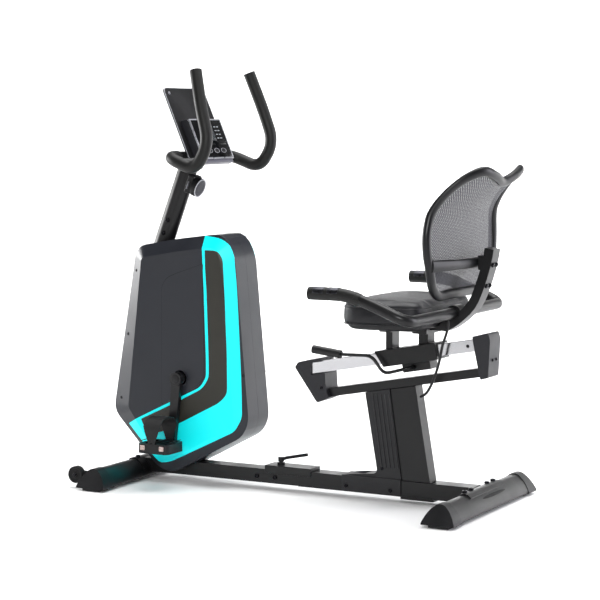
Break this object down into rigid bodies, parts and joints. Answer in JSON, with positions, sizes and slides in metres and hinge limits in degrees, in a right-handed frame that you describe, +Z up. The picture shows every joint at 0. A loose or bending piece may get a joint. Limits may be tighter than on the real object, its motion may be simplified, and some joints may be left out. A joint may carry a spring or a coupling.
{
  "type": "recumbent exercise bike",
  "caption": "Recumbent magnetic exercise bike: sliding seat with a mesh back on a sloping rail, boxed flywheel drive with cranks and pedals, console and handlebar.",
  "frame": {"origin": "on the floor under the middle of the whole bike", "axes": "+X from the drive housing towards the seat's back, +Y towards the rider's right, +Z up"},
  "size_m": [1.1856, 0.6304, 1.1373],
  "materials": {
    "black_paint": "satin black powder coat",
    "black_plastic": "fine-grained black plastic",
    "housing_shell": "slate grey moulded plastic",
    "cover_grey": "dark grey moulded plastic",
    "aluminium": "brushed extrusion",
    "steel": "bright zinc-plated steel",
    "cast_iron": "dark cast iron",
    "rubber": "black rubber",
    "foam": "black foam sleeve",
    "leather": "black synthetic leather",
    "mesh_cloth": "open woven mesh",
    "screen": "glossy dark display window",
    "silver": "silver painted plastic"
  },
  "bodies": {
    "frame": {"front_stabiliser": "black_paint", "rear_stabiliser": "black_paint", "front_end_cap_left": "black_plastic", "front_end_cap_right": "black_plastic", "rear_end_cap_left": "black_plastic", "rear_end_cap_right": "black_plastic", "front_beam": "black_paint", "rear_beam": "black_paint", "beam_sleeve": "black_paint", "seat_column": "black_paint", "column_cover": "cover_grey", "seat_rail": "aluminium", "seat_support_beam": "black_paint", "rail_cover_front": "black_plastic", "rail_cover_rear": "black_plastic", "frame_post": "black_paint", "handlebar_post": "black_paint", "handlebar": "steel", "handlebar_foam_left": "foam", "handlebar_foam_right": "foam", "tension_knob_base": "black_plastic", "tablet_rest": "black_plastic", "console_body": "silver", "console_screen": "screen", "housing_left": "housing_shell", "housing_right": "housing_shell", "drive_plate_left": "steel", "drive_plate_right": "steel", "idler_arm": "steel", "drive_belt": "rubber", "pulse_lead": "rubber"},
    "wheel_left": {"transport_wheel_left": "rubber"},
    "wheel_right": {"transport_wheel_right": "rubber"},
    "clamp": {"clamp_lever": "black_plastic"},
    "knob": {"tension_knob": "black_plastic"},
    "button_left": {"console_button_left": "black_plastic"},
    "button_middle": {"console_button_middle": "black_plastic"},
    "button_right": {"console_button_right": "black_plastic"},
    "crank": {"crank_spindle": "steel", "crank_arm_left": "cast_iron", "crank_arm_right": "cast_iron", "drive_pulley": "black_plastic"},
    "pedal_left": {"pedal_left": "black_plastic", "pedal_strap_left": "rubber"},
    "pedal_right": {"pedal_right": "black_plastic", "pedal_strap_right": "rubber"},
    "flywheel": {"flywheel": "cast_iron"},
    "idler": {"idler_wheel": "black_plastic"},
    "magnets": {"magnet_bracket": "steel"},
    "seat": {"seat_carriage": "black_paint", "seat_pan": "black_plastic", "seat_cushion": "leather", "seat_handle_bar": "black_paint", "seat_grip_left": "foam", "seat_grip_right": "foam", "back_bracket": "black_paint", "back_frame": "black_plastic", "back_mesh": "mesh_cloth"},
    "seat_release": {"seat_lever": "black_plastic"}
  },
  "joints": [
    {"name": "flywheel_spin", "type": "hinge", "parent": "frame", "child": "flywheel", "pos_m": [-0.3178, 0, 0.53], "axis": [0, 1, 0], "continuous": true},
    {"name": "crank_spin", "type": "hinge", "parent": "frame", "child": "crank", "pos_m": [-0.3388, 0, 0.297], "axis": [0, 1, 0], "continuous": true},
    {"name": "idler_spin", "type": "hinge", "parent": "frame", "child": "idler", "pos_m": [-0.4218, 0.042, 0.428], "axis": [0, 1, 0], "continuous": true},
    {"name": "pedal_left_spin", "type": "hinge", "parent": "crank", "child": "pedal_left", "pos_m": [-0.35658, -0.152, 0.1219], "axis": [0, 1, 0], "continuous": true},
    {"name": "pedal_right_spin", "type": "hinge", "parent": "crank", "child": "pedal_right", "pos_m": [-0.32101, 0.152, 0.4721], "axis": [0, 1, 0], "continuous": true},
    {"name": "wheel_left_spin", "type": "hinge", "parent": "frame", "child": "wheel_left", "pos_m": [-0.5698, -0.243, 0.037], "axis": [0, 1, 0], "continuous": true},
    {"name": "wheel_right_spin", "type": "hinge", "parent": "frame", "child": "wheel_right", "pos_m": [-0.5698, 0.243, 0.037], "axis": [0, 1, 0], "continuous": true},
    {"name": "tension_turn", "type": "hinge", "parent": "frame", "child": "knob", "pos_m": [-0.33519, 0, 0.82059], "axis": [0.933, 0, -0.36], "range_deg": [0, 315]},
    {"name": "magnet_swing", "type": "hinge", "parent": "frame", "child": "magnets", "pos_m": [-0.27062, 0, 0.42403], "axis": [0, 1, 0], "range_deg": [0, 7]},
    {"name": "seat_slide", "type": "slide", "parent": "frame", "child": "seat", "axis": [0.9836, 0, 0.1805], "range_m": [-0.15, 0.095], "deforming": ["pulse_lead"]},
    {"name": "seat_release_turn", "type": "hinge", "parent": "seat", "child": "seat_release", "pos_m": [0.3402, -0.024, 0.36304], "axis": [0, 1, 0], "range_deg": [-4, 0], "stiffness_Nm_per_rad": 2, "springref_deg": 3.44},
    {"name": "clamp_turn", "type": "hinge", "parent": "frame", "child": "clamp", "pos_m": [-0.0658, 0, 0.08], "axis": [0, 0, 1], "range_deg": [0, 90]},
    {"name": "button_left_press", "type": "slide", "parent": "frame", "child": "button_left", "axis": [0.9178, 0, 0.3971], "range_m": [-0.0015, 0], "stiffness_N_per_m": 300, "springref_m": 0.0005},
    {"name": "button_middle_press", "type": "slide", "parent": "frame", "child": "button_middle", "axis": [0.9178, 0, 0.3971], "range_m": [-0.0015, 0], "stiffness_N_per_m": 300, "springref_m": 0.0005},
    {"name": "button_right_press", "type": "slide", "parent": "frame", "child": "button_right", "axis": [0.9178, 0, 0.3971], "range_m": [-0.0015, 0], "stiffness_N_per_m": 300, "springref_m": 0.0005}
  ],
  "couplings": [
    {"joint": "crank_spin", "follows": "flywheel_spin", "ratio": 0.14546},
    {"joint": "idler_spin", "follows": "flywheel_spin", "ratio": -1.2308},
    {"joint": "magnet_swing", "follows": "tension_turn", "ratio": 0.022222}
  ]
}
